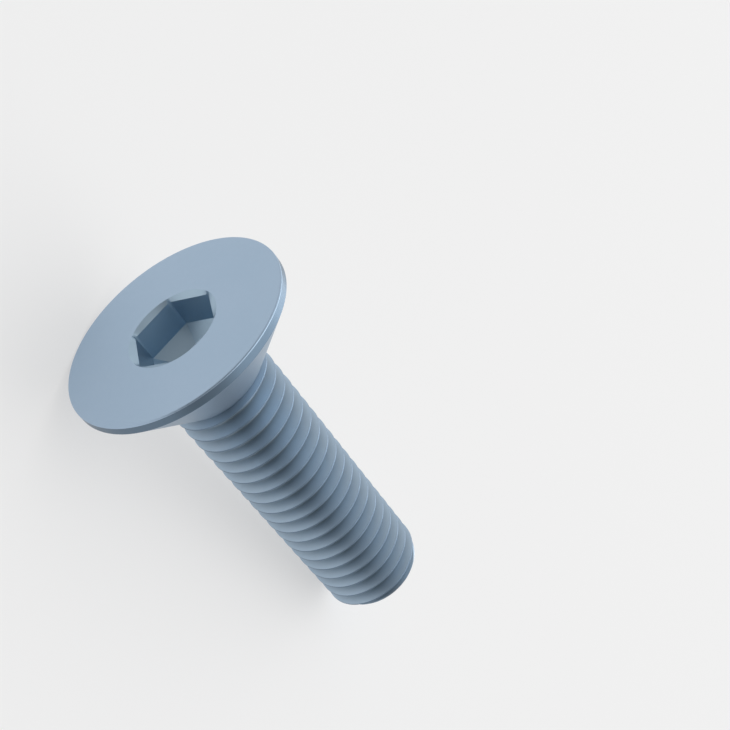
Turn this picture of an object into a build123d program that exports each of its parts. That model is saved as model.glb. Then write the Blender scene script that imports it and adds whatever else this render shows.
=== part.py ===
from build123d import *
import math
import os

# Countersunk socket screw, one piece of steel, lying on its side at rest.
# It is modelled upright on its own axis, head face at z = 0 and tip downwards,
# and then laid down so that the head's rim and the shank's end touch the floor.
# At rest its axis runs along X, with the tip on the +X side and a little lower.
# The shank is drawn at the thread's outside diameter.

# Head
HEAD_DIAMETER = 17.1
RIM_HEIGHT = 0.7
RIM_EDGE_RADIUS = 0.12
CONE_HALF_ANGLE = 45.0

# Shank
THREAD_DIAMETER = 8.0
OVERALL_LENGTH = 29.6
TIP_CHAMFER = 0.6

# Hexagon socket
SOCKET_ACROSS_FLATS = 6.0
SOCKET_DEPTH = 2.75
SOCKET_FLOOR_HALF_ANGLE = 60.0
LEAD_IN_DIAMETER = 7.06
LEAD_IN_DEPTH = 0.27

# Derived sizes
HEAD_RADIUS = HEAD_DIAMETER / 2
SHANK_RADIUS = THREAD_DIAMETER / 2
TIP_RADIUS = SHANK_RADIUS - TIP_CHAMFER
CONE_SLOPE = math.tan(math.radians(CONE_HALF_ANGLE))
NECK_DEPTH = RIM_HEIGHT + (HEAD_RADIUS - SHANK_RADIUS) / CONE_SLOPE
CORNER_RADIUS = SOCKET_ACROSS_FLATS / 2 / math.cos(math.radians(30))
FLOOR_SLOPE = math.tan(math.radians(SOCKET_FLOOR_HALF_ANGLE))
SOCKET_APEX_DEPTH = SOCKET_DEPTH + SOCKET_ACROSS_FLATS / 2 / FLOOR_SLOPE
SOCKET_REACH = HEAD_RADIUS / 2
SOCKET_REACH_DEPTH = SOCKET_APEX_DEPTH - SOCKET_REACH / FLOOR_SLOPE

# Rest on the floor: the rim's lower edge and the tip chamfer's edge touch it
CONTACT_DEPTH = OVERALL_LENGTH - TIP_CHAMFER
REST_SLOPE = math.atan2(HEAD_RADIUS - SHANK_RADIUS, CONTACT_DEPTH - RIM_HEIGHT)
REST_HEIGHT = HEAD_RADIUS * math.cos(REST_SLOPE) + RIM_HEIGHT * math.sin(REST_SLOPE)
REST_TURN = math.degrees(REST_SLOPE) - 90

# The origin is on the floor, midway between the ends of the resting screw
FACE_EDGE_RADIUS = HEAD_RADIUS - RIM_EDGE_RADIUS
HEAD_END = -FACE_EDGE_RADIUS * math.sin(REST_SLOPE) - RIM_EDGE_RADIUS * (1 - math.cos(REST_SLOPE))
TIP_END = TIP_RADIUS * math.sin(REST_SLOPE) + OVERALL_LENGTH * math.cos(REST_SLOPE)
REST_START = -(HEAD_END + TIP_END) / 2

with BuildPart() as socket_tool:
    # Hexagon prism, longer than the socket
    with BuildSketch():
        RegularPolygon(CORNER_RADIUS, 6)
    extrude(amount=-SOCKET_APEX_DEPTH)
    # Conical floor, left by the punch
    with BuildSketch(Plane.XZ):
        Polygon(
            (0, 0),
            (SOCKET_REACH, 0),
            (SOCKET_REACH, -SOCKET_REACH_DEPTH),
            (0, -SOCKET_APEX_DEPTH),
            align=None,
        )
    revolve(axis=Axis.Z, mode=Mode.INTERSECT)

with BuildPart() as lead_in:
    # Lead-in from a circle in the head's face down to the hexagon
    with BuildSketch():
        with BuildLine():
            for side in range(6):
                CenterArc((0, 0), LEAD_IN_DIAMETER / 2, side * 60, 60)
        make_face()
    with BuildSketch(Plane.XY.offset(-LEAD_IN_DEPTH)):
        RegularPolygon(CORNER_RADIUS, 6)
    loft(ruled=True)

with BuildPart() as upright:
    # Flat face, narrow rim, conical seat, shank and chamfered tip
    with BuildSketch(Plane.XZ):
        Polygon(
            (0, 0),
            (HEAD_RADIUS, 0),
            (HEAD_RADIUS, -RIM_HEIGHT),
            (SHANK_RADIUS, -NECK_DEPTH),
            (SHANK_RADIUS, -CONTACT_DEPTH),
            (TIP_RADIUS, -OVERALL_LENGTH),
            (0, -OVERALL_LENGTH),
            align=None,
        )
    revolve(axis=Axis.Z)
    face_edge = upright.edges().filter_by(GeomType.CIRCLE).sort_by(Axis.Z)[-1]
    fillet(face_edge, RIM_EDGE_RADIUS)
    add(socket_tool.part, mode=Mode.SUBTRACT)
    add(lead_in.part, mode=Mode.SUBTRACT)

with BuildPart() as screw:
    with Locations(Location((REST_START, 0, REST_HEIGHT), (0, REST_TURN, 0))):
        add(upright.part)

screw.part.label = "countersunk socket screw"

os.makedirs("parts", exist_ok=True)
export_step(screw.part, "parts/screw.step")
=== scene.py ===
"""Looks of a countersunk socket screw that lies on a pale studio floor.

The screw is built upright on its own axis in millimetres, head face at z = 0 and tip
downwards, and is then laid down in the row frame, where one unit is a metre.
"""

import logging
import math
from dataclasses import dataclass
from enum import Enum
from typing import Callable

import bmesh
import bpy
from bmesh.types import BMEdge, BMesh, BMFace, BMVert
from mathutils import Matrix, Vector


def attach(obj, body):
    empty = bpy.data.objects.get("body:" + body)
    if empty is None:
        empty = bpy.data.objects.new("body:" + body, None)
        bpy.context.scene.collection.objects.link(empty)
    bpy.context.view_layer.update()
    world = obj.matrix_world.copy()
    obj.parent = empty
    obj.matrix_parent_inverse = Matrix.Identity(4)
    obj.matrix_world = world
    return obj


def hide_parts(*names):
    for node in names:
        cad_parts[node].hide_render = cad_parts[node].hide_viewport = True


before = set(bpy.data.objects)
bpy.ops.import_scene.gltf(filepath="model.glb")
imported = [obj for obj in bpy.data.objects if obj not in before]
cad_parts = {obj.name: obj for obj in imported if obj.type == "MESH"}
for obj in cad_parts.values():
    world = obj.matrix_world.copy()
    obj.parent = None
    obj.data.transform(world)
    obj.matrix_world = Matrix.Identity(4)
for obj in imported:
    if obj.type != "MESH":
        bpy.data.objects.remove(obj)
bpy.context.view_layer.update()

LOG = logging.getLogger("screw")
NODE = "screw"
MM = 0.001

# Tolerances in millimetres for points on a cutting plane, merged points and crests
ON_PLANE = 1e-5
SAME_POINT = 1e-4
ON_CREST = 1e-3

# Angles in radians: a right angle, the seat's slope and one side of the hexagon
RIGHT_ANGLE = math.pi / 2
SEAT_ANGLE = math.pi / 4
SIDE_ANGLE = math.pi / 3

Triple = tuple[float, float, float]
Profile = list[tuple[float, float]]


class Surface(Enum):
    """Places on the screw with a material of their own; the seat, rim and crests are
    darkened with painted shade, and the socket is paler with painted light.
    """

    TURNED = 0
    ROLLED = 1
    PUNCHED = 2
    SEAT = 3
    RIM = 4
    CREST = 5


@dataclass(frozen=True)
class ScrewSizes:
    """Sizes of the screw in millimetres.

    The thread's depth and crest are shares of its pitch, and the rounding of its root is
    a share of half the groove's width.
    """

    head_radius: float = 8.55
    rim_height: float = 0.7
    rim_edge: float = 0.12
    seat_edge: float = 0.05
    core_radius: float = 1.6
    across_flats: float = 6.0
    socket_depth: float = 2.48
    socket_apex_depth: float = 4.48
    lead_in_radius: float = 3.53
    lead_in_depth: float = 0.27
    crest_radius: float = 4.0
    pitch: float = 1.25
    thread_depth_share: float = 0.6134
    crest_share: float = 0.08
    root_rounding: float = 0.25
    length: float = 29.6
    tip_chamfer: float = 0.6

    @property
    def root_radius(self) -> float:
        """Radius at the bottom of the thread."""
        return self.crest_radius - self.thread_depth_share * self.pitch

    @property
    def neck_depth(self) -> float:
        """Depth below the head face at which the seat meets the thread's crests."""
        return self.rim_height + self.head_radius - self.crest_radius

    @property
    def rest_slope(self) -> float:
        """Slope of the resting screw's axis in radians, down to the tip."""
        reach = self.length - self.tip_chamfer - self.rim_height
        return math.atan2(self.head_radius - self.crest_radius, reach)

    def rest_matrix(self) -> Matrix:
        """Transform from the upright screw in millimetres to the row frame in metres.

        Returns:
            A matrix that scales, lays down and places the screw.
        """
        slope = self.rest_slope
        height = self.head_radius * math.cos(slope) + self.rim_height * math.sin(slope)
        face = self.head_radius - self.rim_edge
        head_end = -face * math.sin(slope) - self.rim_edge * (1 - math.cos(slope))
        tip = self.crest_radius - self.tip_chamfer
        tip_end = tip * math.sin(slope) + self.length * math.cos(slope)
        place = Matrix.Translation(Vector((-(head_end + tip_end) / 2, 0, height)))
        turn = Matrix.Rotation(slope - RIGHT_ANGLE, 4, "Y")
        return Matrix.Scale(MM, 4) @ place @ turn


def arc(
    centre: tuple[float, float], radius: float, start: float, turn: float, steps: int
) -> Profile:
    """Draws an arc of a profile, from its top outwards and down.

    Args:
        centre: Radius and height of the arc's centre.
        radius: The arc's own radius.
        start: Angle of the first point from straight up.
        turn: Angle that the arc turns through.
        steps: Number of steps of the arc.

    Returns:
        Radius and height of each point.
    """
    angles = [start + turn * step / steps for step in range(steps + 1)]
    return [
        (centre[0] + radius * math.sin(angle), centre[1] + radius * math.cos(angle))
        for angle in angles
    ]


def ring_edges(mesh: BMesh, test: Callable[[Vector], bool]) -> list[BMEdge]:
    """Finds the open edges whose two ends pass a test.

    Args:
        mesh: The mesh that is searched.
        test: Test on a vertex position.

    Returns:
        The boundary edges with both ends passing the test.
    """
    return [e for e in mesh.edges if e.is_boundary and all(test(v.co) for v in e.verts)]


def extrude_ring(
    mesh: BMesh, edges: list[BMEdge], move: Callable[[Vector], Vector], surface: Surface
) -> list[BMEdge]:
    """Extrudes a closed ring of edges and moves the new ring.

    Args:
        mesh: The mesh that the ring belongs to.
        edges: The ring's edges.
        move: Gives the new place of each extruded vertex.
        surface: Finish of the new faces.

    Returns:
        The edges of the new ring.
    """
    made = bmesh.ops.extrude_edge_only(mesh, edges=edges)["geom"]
    for item in made:
        if isinstance(item, BMVert):
            item.co = move(item.co)
        elif isinstance(item, BMFace):
            item.material_index = surface.value
    return [item for item in made if isinstance(item, BMEdge)]


def spin_profile(
    mesh: BMesh, points: Profile, steps: int, rise: float, surface: Surface
) -> None:
    """Draws a profile in the X-Z plane and spins it once round the screw's axis.

    Args:
        mesh: The new mesh that is added to.
        points: Radius and height of each point of the profile.
        steps: Number of steps of the turn.
        rise: Height gained by the turn.
        surface: Finish of the mesh's faces.
    """
    verts = [mesh.verts.new((radius, 0, z)) for radius, z in points]
    edges = [mesh.edges.new(pair) for pair in zip(verts, verts[1:])]
    bmesh.ops.spin(
        mesh,
        geom=verts + edges,
        cent=(0, 0, 0),
        axis=(0, 0, 1),
        dvec=(0, 0, rise / steps),
        angle=2 * math.pi,
        steps=steps,
        use_merge=rise == 0,
        use_duplicate=False,
    )
    for face in mesh.faces:
        face.material_index = surface.value


@dataclass(frozen=True)
class Head:
    """Countersunk head with a flat face, a narrow rim, a conical seat and a hexagon socket.

    The bands are narrow faces in millimetres that keep the shading beside an edge flat.
    """

    sizes: ScrewSizes
    segments: int = 240
    rim_edge_steps: int = 6
    seat_edge_steps: int = 3
    floor_rings: int = 3
    face_band: float = 0.03
    rim_band: float = 0.02
    seat_band: float = 0.06

    def outline(self) -> Profile:
        """Profile from the lead-in round the rim and down the seat to the core.

        Returns:
            Radius and height of each point of the profile.
        """
        s = self.sizes
        rim_arc = (s.head_radius - s.rim_edge, -s.rim_edge)
        blend = s.seat_edge * math.tan(SEAT_ANGLE / 2)
        seat_arc = (s.head_radius - s.seat_edge, -s.rim_height + blend)
        core_z = -s.rim_height - (s.head_radius - s.core_radius)
        return [
            (s.lead_in_radius, 0.0),
            (s.lead_in_radius + self.face_band, 0.0),
            (rim_arc[0] - self.face_band, 0.0),
            *arc(rim_arc, s.rim_edge, 0.0, RIGHT_ANGLE, self.rim_edge_steps),
            (s.head_radius, rim_arc[1] - self.face_band),
            (s.head_radius, seat_arc[1] + self.rim_band),
            *arc(seat_arc, s.seat_edge, RIGHT_ANGLE, SEAT_ANGLE, self.seat_edge_steps),
            (s.head_radius - self.seat_band, -s.rim_height - self.seat_band),
            (s.core_radius, core_z),
            (0.0, core_z),
        ]

    def wall_radius(self, place: Vector) -> float:
        """Distance from the axis to the socket's wall in the direction of a point.

        Args:
            place: Any point off the axis.

        Returns:
            The distance in millimetres.
        """
        angle = math.atan2(place.y, place.x) % SIDE_ANGLE
        return self.sizes.across_flats / 2 / math.cos(angle - SIDE_ANGLE / 2)

    def wall_point(self, place: Vector, z: float) -> Vector:
        """Point of the socket's wall in the direction of a point, at a height.

        Args:
            place: Any point off the axis.
            z: Height of the result.

        Returns:
            The point on the hexagon.
        """
        flat = Vector((place.x, place.y, 0)).normalized() * self.wall_radius(place)
        return Vector((flat.x, flat.y, z))

    def floor_point(self, place: Vector, share: float) -> Vector:
        """Point of the socket's pointed floor in the direction of a point.

        Args:
            place: Any point off the axis.
            share: Share of the way from the floor's lowest point out to the wall.

        Returns:
            The point on the floor.
        """
        s = self.sizes
        fall = (1 - share) * (s.socket_apex_depth - s.socket_depth)
        flat = self.wall_point(place, 0.0) * share
        return Vector((flat.x, flat.y, -s.socket_depth - fall))

    def sink_socket(self, mesh: BMesh) -> None:
        """Sinks the lead-in, the walls and the floor of the socket from the face's hole.

        Args:
            mesh: The mesh with the head's outside.
        """
        ring = ring_edges(mesh, lambda p: p.z > -SAME_POINT)
        for depth in (self.sizes.lead_in_depth, self.sizes.socket_depth):
            ring = extrude_ring(
                mesh, ring, lambda p: self.wall_point(p, -depth), Surface.PUNCHED
            )
        for step in range(1, self.floor_rings + 1):
            share = 1 - step / self.floor_rings
            ring = extrude_ring(
                mesh, ring, lambda p: self.floor_point(p, share), Surface.PUNCHED
            )
        bmesh.ops.remove_doubles(mesh, verts=mesh.verts[:], dist=SAME_POINT)

    def build(self, mesh: BMesh) -> None:
        """Adds the head and its socket to a mesh.

        Args:
            mesh: The mesh that is added to.
        """
        s = self.sizes
        spin_profile(mesh, self.outline(), self.segments, 0.0, Surface.TURNED)
        bmesh.ops.remove_doubles(mesh, verts=mesh.verts[:], dist=SAME_POINT)
        # The seat and the rim get darker colours, which are painted shade.
        for face in mesh.faces:
            height = face.calc_center_median().z
            if height < -s.rim_height:
                face.material_index = Surface.SEAT.value
            elif height < -s.rim_edge:
                face.material_index = Surface.RIM.value
        self.sink_socket(mesh)


@dataclass(frozen=True)
class ThreadedShank:
    """Shank with a right-hand 60 degree thread that ends in a chamfered tip."""

    sizes: ScrewSizes
    steps_per_turn: int = 120
    flank_steps: int = 7
    root_gather: float = 1.5
    spare_turns: int = 2

    @property
    def chamfer_z(self) -> float:
        """Height at which the tip's chamfer starts."""
        return self.sizes.tip_chamfer - self.sizes.length

    @property
    def inner_z(self) -> float:
        """Height inside the head at which the shank ends."""
        return -self.sizes.neck_depth + self.sizes.pitch / 2

    def tooth(self, start: float) -> Profile:
        """Profile of one pitch of the thread, crest first.

        The groove is a hyperbola: straight flanks with a rounded root between them.

        Args:
            start: Height at which the crest starts.

        Returns:
            Radius and height of each point of the profile.
        """
        s = self.sizes
        depth = s.crest_radius - s.root_radius
        crest = s.crest_share * s.pitch
        half = (s.pitch - crest) / 2
        edge = math.hypot(1, s.root_rounding)
        points = [(s.crest_radius, start)]
        for step in range(-self.flank_steps, self.flank_steps + 1):
            share = step / self.flank_steps
            across = math.copysign(abs(share) ** self.root_gather, share)
            sunk = (edge - math.hypot(across, s.root_rounding)) / (edge - s.root_rounding)
            points.append((s.crest_radius - sunk * depth, start + crest + half * (1 + across)))
        return points

    def wind(self, shank: BMesh) -> None:
        """Winds the thread from below the tip up into the head.

        Args:
            shank: The new mesh that is added to.
        """
        s = self.sizes
        start = self.chamfer_z - s.pitch / 2 - self.spare_turns * s.pitch
        turns = math.ceil((self.inner_z - start) / s.pitch) + 1
        spin_profile(shank, self.tooth(start), self.steps_per_turn, s.pitch, Surface.ROLLED)
        first = shank.verts[:] + shank.edges[:] + shank.faces[:]
        for turn in range(1, turns):
            copied = bmesh.ops.duplicate(shank, geom=first)["geom"]
            moved = [item for item in copied if isinstance(item, BMVert)]
            bmesh.ops.translate(shank, verts=moved, vec=(0, 0, turn * s.pitch))
        bmesh.ops.remove_doubles(shank, verts=shank.verts[:], dist=SAME_POINT)

    def cut(self, shank: BMesh, height: float, removed: int = 0) -> None:
        """Cuts the thread's faces along a level plane.

        Args:
            shank: The mesh that is cut.
            height: Height of the plane.
            removed: Side that is removed: 1 for above, -1 for below and 0 for neither.
        """
        bmesh.ops.bisect_plane(
            shank,
            geom=shank.verts[:] + shank.edges[:] + shank.faces[:],
            dist=ON_PLANE,
            plane_co=(0, 0, height),
            plane_no=(0, 0, removed or 1),
            clear_outer=removed != 0,
        )

    def trim(self, shank: BMesh) -> None:
        """Cuts the thread to its length and draws it in to the tip's chamfer.

        Args:
            shank: The mesh with the wound thread.
        """
        self.cut(shank, self.chamfer_z)
        self.cut(shank, -self.sizes.length, removed=-1)
        self.cut(shank, self.inner_z, removed=1)
        for vert in shank.verts:
            radius = vert.co.xy.length
            limit = self.sizes.crest_radius - max(0.0, self.chamfer_z - vert.co.z)
            if radius > limit:
                vert.co.x *= limit / radius
                vert.co.y *= limit / radius

    def close(self, shank: BMesh) -> None:
        """Marks the faces of the crests and closes both ends.

        Args:
            shank: The mesh with the trimmed thread.
        """
        s = self.sizes
        # The crests get a dark colour, which is painted shade.
        for face in shank.faces:
            if all(v.co.xy.length > s.crest_radius - ON_CREST for v in face.verts):
                face.material_index = Surface.CREST.value
        for height in (-s.length, self.inner_z):
            ring = ring_edges(shank, lambda p: abs(p.z - height) < SAME_POINT)
            for face in bmesh.ops.edgenet_fill(shank, edges=ring)["faces"]:
                face.material_index = Surface.TURNED.value

    def build(self, mesh: BMesh) -> None:
        """Adds the threaded shank to a mesh.

        Args:
            mesh: The mesh that is added to.
        """
        shank = bmesh.new()
        self.wind(shank)
        self.trim(shank)
        self.close(shank)
        copy = bpy.data.meshes.new("shank_copy")
        shank.to_mesh(copy)
        shank.free()
        mesh.from_mesh(copy)
        bpy.data.meshes.remove(copy)


def set_inputs(node: bpy.types.Node, values: dict[int | str, object]) -> None:
    """Sets the values of a node's inputs.

    Args:
        node: The node.
        values: Value of each input that is set, by its name or number.
    """
    for key, value in values.items():
        node.inputs[key].default_value = value


def add_node(
    tree: bpy.types.NodeTree,
    kind: str,
    operation: str = "",
    values: dict[int | str, object] | None = None,
) -> bpy.types.Node:
    """Adds a node to a tree.

    Args:
        tree: The tree that is added to.
        kind: The node's type.
        operation: The node's operation, where it has one.
        values: Value of each input that is set, by its name or number.

    Returns:
        The new node.
    """
    node = tree.nodes.new(kind)
    if operation:
        node.operation = operation
    set_inputs(node, values or {})
    return node


def link_all(
    tree: bpy.types.NodeTree, *pairs: tuple[bpy.types.NodeSocket, bpy.types.NodeSocket]
) -> None:
    """Links outputs to inputs.

    Args:
        tree: The tree that the nodes belong to.
        pairs: Each output with the input that it feeds.
    """
    for source, target in pairs:
        tree.links.new(source, target)


@dataclass(frozen=True)
class SteelFinishAndPaintedShade:
    """Satin blue-grey plated steel, with fine marks left by how the surface was made, and
    with painted shade in some colours and painted light in one.

    The root shade is the share of the colour that is left at the bottom of the thread, as
    painted shade, and the bump's reach is in millimetres.
    """

    name: str
    colour: Triple
    deep_colour: Triple
    roughness: float
    grain_scale: float = 2500.0
    grain_contrast: float = 0.08
    bump: float = 0.05
    bump_reach: float = 0.02
    root_shade: float = 1.0

    def build(self, group: bpy.types.NodeTree) -> bpy.types.Material:
        """Makes the material.

        Args:
            group: The shared grain group.

        Returns:
            The new material.
        """
        material = bpy.data.materials.new(self.name)
        material.use_nodes = True
        tree = material.node_tree
        shader = next(n for n in tree.nodes if n.type == "BSDF_PRINCIPLED")
        set_inputs(shader, {"Metallic": 1.0})
        coords = add_node(tree, "ShaderNodeTexCoord")
        # The grain group also paints shade into the colour at the thread's roots.
        grain = add_node(tree, "ShaderNodeGroup")
        grain.node_tree = group
        set_inputs(
            grain,
            {
                "Colour": (*self.colour, 1),
                "Deep Colour": (*self.deep_colour, 1),
                "Roughness": self.roughness,
                "Scale": self.grain_scale,
                "Contrast": self.grain_contrast,
                "Root Shade": self.root_shade,
            },
        )
        reach = self.bump_reach * MM
        bump = add_node(
            tree, "ShaderNodeBump", values={"Strength": self.bump, "Distance": reach}
        )
        link_all(
            tree,
            (coords.outputs["Object"], grain.inputs["Place"]),
            (grain.outputs["Colour"], shader.inputs["Base Color"]),
            (grain.outputs["Roughness"], shader.inputs["Roughness"]),
            (grain.outputs["Height"], bump.inputs["Height"]),
            (bump.outputs["Normal"], shader.inputs["Normal"]),
        )
        return material


FINISHES_AND_PAINTED_SHADES = {
    Surface.TURNED: SteelFinishAndPaintedShade(
        name="turned_steel",
        colour=(0.44, 0.56, 0.70),
        deep_colour=(0.40, 0.53, 0.67),
        roughness=0.42,
    ),
    Surface.ROLLED: SteelFinishAndPaintedShade(
        name="rolled_steel",
        colour=(0.47, 0.59, 0.71),
        deep_colour=(0.44, 0.56, 0.68),
        roughness=0.46,
        grain_scale=3000.0,
        grain_contrast=0.10,
        bump=0.08,
        # Painted shade: the thread's roots keep only this share of the colour.
        root_shade=0.48,
    ),
    # The socket's own steel colour, made paler than the face's as painted light for its shaded
    # inside.
    Surface.PUNCHED: SteelFinishAndPaintedShade(
        name="punched_steel_painted_light",
        colour=(0.47, 0.61, 0.73),
        deep_colour=(0.43, 0.57, 0.69),
        roughness=0.46,
        grain_contrast=0.10,
        bump=0.08,
    ),
    # Painted shade: the seat's darker colour stands in for the shade under the head.
    Surface.SEAT: SteelFinishAndPaintedShade(
        name="seat_steel_painted_shade",
        colour=(0.32, 0.41, 0.51),
        deep_colour=(0.30, 0.385, 0.48),
        roughness=0.44,
    ),
    # Painted shade: the rim's dark colour stands in for the dark that it mirrors below the
    # head.
    Surface.RIM: SteelFinishAndPaintedShade(
        name="rim_steel_painted_shade",
        colour=(0.15, 0.21, 0.28),
        deep_colour=(0.14, 0.20, 0.265),
        roughness=0.38,
    ),
    # Painted shade: the crests' dark colour stands in for the shade along the thread's ridges.
    Surface.CREST: SteelFinishAndPaintedShade(
        name="crest_steel_painted_shade",
        colour=(0.17, 0.24, 0.33),
        deep_colour=(0.155, 0.22, 0.30),
        roughness=0.46,
        grain_scale=3000.0,
        grain_contrast=0.10,
        bump=0.08,
    ),
}


@dataclass(frozen=True)
class SteelGrainAndShade:
    """Shader node group that varies the colour, gloss and height of plated steel, and
    paints shade into the colour towards the thread's roots.

    The crest margin is in millimetres: nearer to the crests than that, no shade is painted.
    """

    sizes: ScrewSizes
    name: str = "steel_grain_and_shade"
    cloud_scale: float = 160.0
    cloud_detail: float = 3.0
    fine_detail: float = 4.0
    noise_mean: float = 0.5
    crest_margin: float = 0.1

    def add_sockets(self, group: bpy.types.NodeTree) -> None:
        """Gives the group its inputs and outputs.

        Args:
            group: The new node group.
        """
        for label, kind, way in (
            ("Place", "NodeSocketVector", "INPUT"),
            ("Colour", "NodeSocketColor", "INPUT"),
            ("Deep Colour", "NodeSocketColor", "INPUT"),
            ("Roughness", "NodeSocketFloat", "INPUT"),
            ("Scale", "NodeSocketFloat", "INPUT"),
            ("Contrast", "NodeSocketFloat", "INPUT"),
            ("Root Shade", "NodeSocketFloat", "INPUT"),
            ("Colour", "NodeSocketColor", "OUTPUT"),
            ("Roughness", "NodeSocketFloat", "OUTPUT"),
            ("Height", "NodeSocketFloat", "OUTPUT"),
        ):
            group.interface.new_socket(label, in_out=way, socket_type=kind)

    def build(self) -> bpy.types.NodeTree:
        """Makes the group.

        Returns:
            The new node group.
        """
        group = bpy.data.node_groups.new(self.name, "ShaderNodeTree")
        self.add_sockets(group)
        entry = add_node(group, "NodeGroupInput")
        leave = add_node(group, "NodeGroupOutput")
        cloud_values = {"Scale": self.cloud_scale, "Detail": self.cloud_detail}
        cloud = add_node(group, "ShaderNodeTexNoise", values=cloud_values)
        fine = add_node(group, "ShaderNodeTexNoise", values={"Detail": self.fine_detail})
        mix = add_node(group, "ShaderNodeMix")
        mix.data_type = "RGBA"
        shaded = add_node(group, "ShaderNodeVectorMath", "SCALE")
        centred = add_node(group, "ShaderNodeMath", "SUBTRACT", {1: self.noise_mean})
        gloss = add_node(group, "ShaderNodeMath", "MULTIPLY_ADD")
        link_all(
            group,
            (entry.outputs["Place"], cloud.inputs["Vector"]),
            (entry.outputs["Place"], fine.inputs["Vector"]),
            (entry.outputs["Scale"], fine.inputs["Scale"]),
            (cloud.outputs["Fac"], mix.inputs["Factor"]),
            (entry.outputs["Colour"], mix.inputs["A"]),
            (entry.outputs["Deep Colour"], mix.inputs["B"]),
            (mix.outputs["Result"], shaded.inputs["Vector"]),
            (self.root_ramp(group, entry), shaded.inputs["Scale"]),
            (shaded.outputs["Vector"], leave.inputs["Colour"]),
            (fine.outputs["Fac"], centred.inputs[0]),
            (centred.outputs[0], gloss.inputs[0]),
            (entry.outputs["Contrast"], gloss.inputs[1]),
            (entry.outputs["Roughness"], gloss.inputs[2]),
            (gloss.outputs[0], leave.inputs["Roughness"]),
            (fine.outputs["Fac"], leave.inputs["Height"]),
        )
        return group

    def root_ramp(
        self, group: bpy.types.NodeTree, entry: bpy.types.Node
    ) -> bpy.types.NodeSocket:
        """Adds the nodes that darken the colour towards the roots of the thread, as painted
        shade.

        Args:
            group: The node group that is added to.
            entry: The group's input node.

        Returns:
            The socket with the share of the colour at each distance from the screw's axis.
        """
        rest = self.sizes.rest_matrix()
        axis = (rest.to_3x3() @ Vector((0, 0, 1))).normalized()
        shaded_reach = self.sizes.crest_radius - self.crest_margin
        from_axis = add_node(
            group, "ShaderNodeVectorMath", "SUBTRACT", {1: rest.translation}
        )
        across = add_node(group, "ShaderNodeVectorMath", "CROSS_PRODUCT", {1: axis})
        radius = add_node(group, "ShaderNodeVectorMath", "LENGTH")
        ramp_values = {"From Min": self.sizes.root_radius * MM, "From Max": shaded_reach * MM}
        ramp = add_node(group, "ShaderNodeMapRange", values=ramp_values)
        link_all(
            group,
            (entry.outputs["Place"], from_axis.inputs[0]),
            (from_axis.outputs["Vector"], across.inputs[0]),
            (across.outputs["Vector"], radius.inputs[0]),
            (radius.outputs["Value"], ramp.inputs["Value"]),
            (entry.outputs["Root Shade"], ramp.inputs["To Min"]),
        )
        return ramp.outputs["Result"]


@dataclass(frozen=True)
class Screw:
    """The whole screw: head and threaded shank as one mesh, at rest on the floor.

    Edges that bend by more than the sharp angle, in degrees, are shaded as sharp.
    """

    sizes: ScrewSizes = ScrewSizes()
    sharp_angle: float = 25.0

    def build(self) -> bpy.types.Object:
        """Models the screw and places it in the row frame.

        Returns:
            The finished piece, riding on the root body.
        """
        mesh = bmesh.new()
        Head(self.sizes).build(mesh)
        LOG.info("head: %d faces", len(mesh.faces))
        ThreadedShank(self.sizes).build(mesh)
        LOG.info("head and shank: %d faces", len(mesh.faces))
        bmesh.ops.recalc_face_normals(mesh, faces=mesh.faces[:])
        bmesh.ops.transform(mesh, matrix=self.sizes.rest_matrix(), verts=mesh.verts[:])
        data = bpy.data.meshes.new("screw_body")
        mesh.to_mesh(data)
        mesh.free()
        data.shade_smooth()
        data.set_sharp_from_angle(angle=math.radians(self.sharp_angle))
        piece = bpy.data.objects.new("screw_body", data)
        bpy.context.scene.collection.objects.link(piece)
        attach(piece, "root")
        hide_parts(NODE)
        return piece

    def dress(self, piece: bpy.types.Object) -> None:
        """Gives the piece its finishes with their painted shade and light, in the order of
        their material numbers.

        Args:
            piece: The finished mesh object.
        """
        group = SteelGrainAndShade(self.sizes).build()
        for surface in Surface:
            piece.data.materials.append(FINISHES_AND_PAINTED_SHADES[surface].build(group))


@dataclass(frozen=True)
class PhotoCamera:
    """Camera above the screw, on the side of its head, tilted over on its line of sight.

    Its place, lens and sensor are in millimetres, and its clipping distances in metres.
    """

    place: Triple = (-53.625, -55.630, 73.985)
    right: Triple = (0.598332, 0.240439, 0.764322)
    up: Triple = (-0.608615, 0.756816, 0.238363)
    lens: float = 68.148
    sensor_width: float = 36.0
    clip_start: float = 0.001
    clip_end: float = 10.0

    def build(self) -> None:
        """Creates the scene's camera."""
        data = bpy.data.cameras.new("photo_camera")
        data.lens = self.lens
        data.sensor_width = self.sensor_width
        data.clip_start = self.clip_start
        data.clip_end = self.clip_end
        camera = bpy.data.objects.new("photo_camera", data)
        right, up = Vector(self.right), Vector(self.up)
        turn = Matrix((right, up, right.cross(up))).transposed().to_4x4()
        camera.matrix_world = Matrix.Translation(Vector(self.place) * MM) @ turn
        bpy.context.scene.collection.objects.link(camera)
        bpy.context.scene.camera = camera


@dataclass(frozen=True)
class SoftLamp:
    """Large square lamp that points at the screw, with its place and size in metres."""

    name: str
    place: Triple
    size: float
    power: float

    def build(self) -> None:
        """Creates the lamp."""
        data = bpy.data.lights.new(self.name, "AREA")
        data.shape = "SQUARE"
        data.size = self.size
        data.energy = self.power
        lamp = bpy.data.objects.new(self.name, data)
        lamp.location = self.place
        lamp.rotation_euler = (-Vector(self.place)).to_track_quat("-Z", "Y").to_euler()
        bpy.context.scene.collection.objects.link(lamp)


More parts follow.
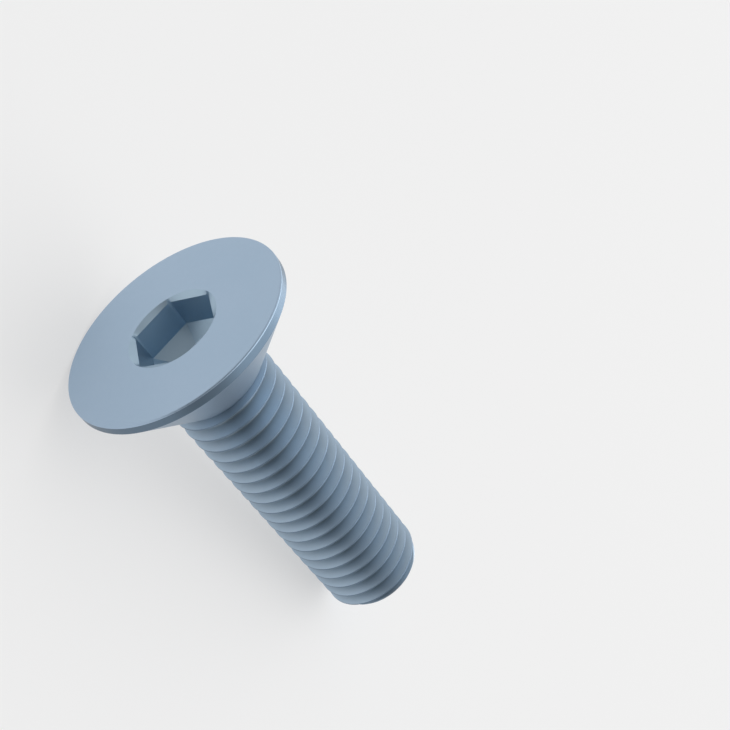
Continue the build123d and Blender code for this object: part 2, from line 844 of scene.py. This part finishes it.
@dataclass(frozen=True)
class Studio:
    """Pale floor, two soft lamps and a sky that is brighter on one side.

    The floor's reach is in metres from its middle. The sky fades from bright to dim
    between two cosines of the angle to its bright side.
    """

    floor_reach: float = 3.0
    floor_colour: float = 0.38
    floor_lift: float = 0.52
    sky_bright: float = 1.05
    sky_dim: float = 0.18
    bright_cosine: float = 0.60
    dim_cosine: float = -0.75
    bright_way: Triple = (0.55, 0.75, 0.30)
    lamps: tuple[SoftLamp, ...] = (
        SoftLamp(name="key_lamp", place=(0.45, 0.10, 0.80), size=1.2, power=3.6),
        SoftLamp(name="side_lamp", place=(0.50, 0.60, 0.22), size=0.5, power=1.5),
    )

    def build_sky(self) -> None:
        """Sets the world: a soft sky whose light fades smoothly from its bright side."""
        world = bpy.data.worlds.new("studio_sky")
        bpy.context.scene.world = world
        world.use_nodes = True
        tree = world.node_tree
        tree.nodes.clear()
        out = add_node(tree, "ShaderNodeOutputWorld")
        sky = add_node(tree, "ShaderNodeBackground")
        coords = add_node(tree, "ShaderNodeTexCoord")
        way = Vector(self.bright_way).normalized()
        facing = add_node(tree, "ShaderNodeVectorMath", "DOT_PRODUCT", {1: way})
        ramp_values = {
            "From Min": self.dim_cosine,
            "From Max": self.bright_cosine,
            "To Min": self.sky_dim,
            "To Max": self.sky_bright,
        }
        ramp = add_node(tree, "ShaderNodeMapRange", values=ramp_values)
        link_all(
            tree,
            (coords.outputs["Generated"], facing.inputs[0]),
            (facing.outputs["Value"], ramp.inputs["Value"]),
            (ramp.outputs["Result"], sky.inputs["Strength"]),
            (sky.outputs["Background"], out.inputs["Surface"]),
        )

    def floor_material(self) -> bpy.types.Material:
        """Makes the floor's finish, lifted to a pale ground where it is seen or mirrored.

        Returns:
            The new material.
        """
        material = bpy.data.materials.new("pale_floor")
        material.use_nodes = True
        tree = material.node_tree
        tree.nodes.clear()
        out = add_node(tree, "ShaderNodeOutputMaterial")
        both = add_node(tree, "ShaderNodeAddShader")
        grey = (self.floor_colour,) * 3 + (1,)
        matte = add_node(tree, "ShaderNodeBsdfDiffuse", values={"Color": grey})
        lift = add_node(tree, "ShaderNodeEmission")
        path = add_node(tree, "ShaderNodeLightPath")
        direct = add_node(tree, "ShaderNodeMath", "MAXIMUM")
        seen = add_node(tree, "ShaderNodeMath", "MAXIMUM")
        strength = add_node(tree, "ShaderNodeMath", "MULTIPLY", {1: self.floor_lift})
        link_all(
            tree,
            (path.outputs["Is Camera Ray"], direct.inputs[0]),
            (path.outputs["Is Glossy Ray"], direct.inputs[1]),
            (direct.outputs["Value"], seen.inputs[0]),
            (path.outputs["Is Transmission Ray"], seen.inputs[1]),
            (seen.outputs["Value"], strength.inputs[0]),
            (strength.outputs["Value"], lift.inputs["Strength"]),
            (matte.outputs["BSDF"], both.inputs[0]),
            (lift.outputs["Emission"], both.inputs[1]),
            (both.outputs["Shader"], out.inputs["Surface"]),
        )
        return material

    def build_floor(self) -> None:
        """Creates the floor that the screw lies on, as part of the stage."""
        mesh = bmesh.new()
        bmesh.ops.create_grid(mesh, x_segments=1, y_segments=1, size=self.floor_reach)
        data = bpy.data.meshes.new("floor")
        mesh.to_mesh(data)
        mesh.free()
        floor = bpy.data.objects.new("floor", data)
        bpy.context.scene.collection.objects.link(floor)
        data.materials.append(self.floor_material())

    def build(self) -> None:
        """Builds the sky, the floor and the lamps."""
        self.build_sky()
        self.build_floor()
        for lamp in self.lamps:
            lamp.build()


def main() -> None:
    """Builds the screw, the studio and the camera in order."""
    logging.basicConfig(level=logging.INFO)
    bpy.context.scene.view_settings.view_transform = "Standard"
    screw = Screw()
    piece = screw.build()
    screw.dress(piece)
    LOG.info("screw built")
    Studio().build()
    LOG.info("studio built")
    PhotoCamera().build()
    LOG.info("camera placed")


if __name__ == "__main__":
    main()
